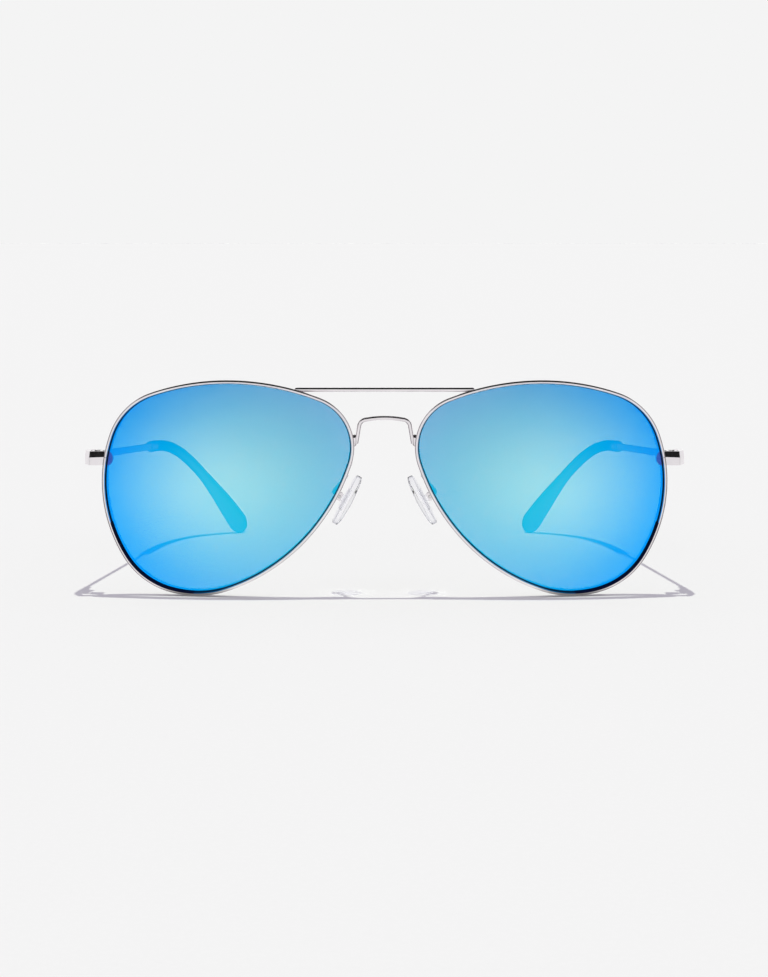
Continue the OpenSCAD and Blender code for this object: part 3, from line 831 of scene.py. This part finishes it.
def build_floor():
    mesh = bpy.data.meshes.new("floor")
    corners = [(x * FLOOR_HALF, y * FLOOR_HALF, 0) for x, y in ((-1, -1), (1, -1), (1, 1), (-1, 1))]
    mesh.from_pydata(corners, [], [(0, 1, 2, 3)])
    s = Shader("paper_floor")
    fibre = s.ramp(s.noise(900, 3), (0.3, (FLOOR_WHITE - 0.004,) * 3), (0.7, (FLOOR_WHITE + 0.004,) * 3))
    # behind the lenses the floor shows by lamp light alone, so that the shadows there are deep
    paper = s.node("BsdfDiffuse", {"Color": s.mix("MIX", s.through_lens(), fibre, LAMP_WHITE)}).outputs[0]
    coming = s.node("NewGeometry").outputs["Incoming"]
    way = s.node("VectorMath", {0: coming, 3: -1.0}, operation="SCALE").outputs[0]
    even = s.node("Emission", {"Color": (1, 1, 1, 1), "Strength": room_light(s, way)}).outputs[0]
    mesh.materials.append(s.surface(s.shader_mix(mirrored_ray(s), paper, even)))
    s.material.cycles.emission_sampling = "NONE"
    floor = bpy.data.objects.new("floor", mesh)
    bpy.context.scene.collection.objects.link(floor)


def build_lamp():
    """A small overhead lamp whose light is even over the whole floor."""
    lamp = bpy.data.lights.new("overhead", "POINT")
    lamp.shadow_soft_size = LAMP_R * MM
    lamp.energy = 1.0
    lamp.use_nodes = True
    s = Shader.__new__(Shader)
    s.tree = lamp.node_tree
    emit = next(n for n in s.tree.nodes if n.type == "EMISSION")
    # a point lamp of 1 W gives 1 / (4 pi^2) W/m2/sr per unit of strength at 1 m
    strength = PAPER / FLOOR_WHITE * 4 * math.pi ** 2
    fall = s.node("LightFalloff", {"Strength": strength}).outputs["Constant"]
    split = s.node("SeparateXYZ", {0: s.node("NewGeometry").outputs["Incoming"]})
    upright = s.math("ABSOLUTE", split.outputs[2])
    s.feed(emit.inputs["Strength"], s.math("DIVIDE", fall, upright))
    emit.inputs["Color"].default_value = (*LAMP, 1)
    ob = bpy.data.objects.new("overhead", lamp)
    ob.location = (0, (SHIFT + LAMP_Y) * MM, LAMP_HEIGHT * MM)
    ob.visible_glossy = False
    bpy.context.scene.collection.objects.link(ob)


def build_world():
    """Even soft light for surfaces, plain paper for the camera and the room for shiny metal."""
    world = bpy.data.worlds.new("studio")
    bpy.context.scene.world = world
    world.use_nodes = True
    s = Shader.__new__(Shader)
    s.tree = world.node_tree
    s.tree.nodes.clear()
    bright = room_light(s, s.node("TexCoord").outputs["Generated"])
    room = s.node("CombineColor", {0: bright, 1: bright, 2: bright}).outputs[0]
    around = s.mix("MIX", s.through_lens(), (*(PAPER * a / FLOOR_WHITE for a in AMBIENT), 1), (0, 0, 0, 1))
    soft = s.mix("MIX", s.node("LightPath").outputs["Is Diffuse Ray"], (PAPER, PAPER, PAPER, 1), around)
    colour = s.mix("MIX", mirrored_ray(s), soft, room)
    back = s.node("Background", {"Color": colour, "Strength": 1.0})
    out = s.node("OutputWorld")
    s.tree.links.new(back.outputs[0], out.inputs[0])


def build_camera():
    data = bpy.data.cameras.new("camera")
    data.sensor_width = 36
    data.lens = CAMERA_LENS
    data.shift_x = CAMERA_SHIFT
    data.clip_start = 0.01
    data.clip_end = 200
    ob = bpy.data.objects.new("camera", data)
    ob.location = (0, (SHIFT + CAMERA_Y) * MM, CAMERA_Z * MM)
    ob.rotation_euler = (math.radians(90 - CAMERA_DOWN), 0, 0)
    bpy.context.scene.collection.objects.link(ob)
    bpy.context.scene.camera = ob


build_floor()
build_lamp()
build_world()
build_camera()
bpy.context.scene.view_settings.view_transform = "Standard"
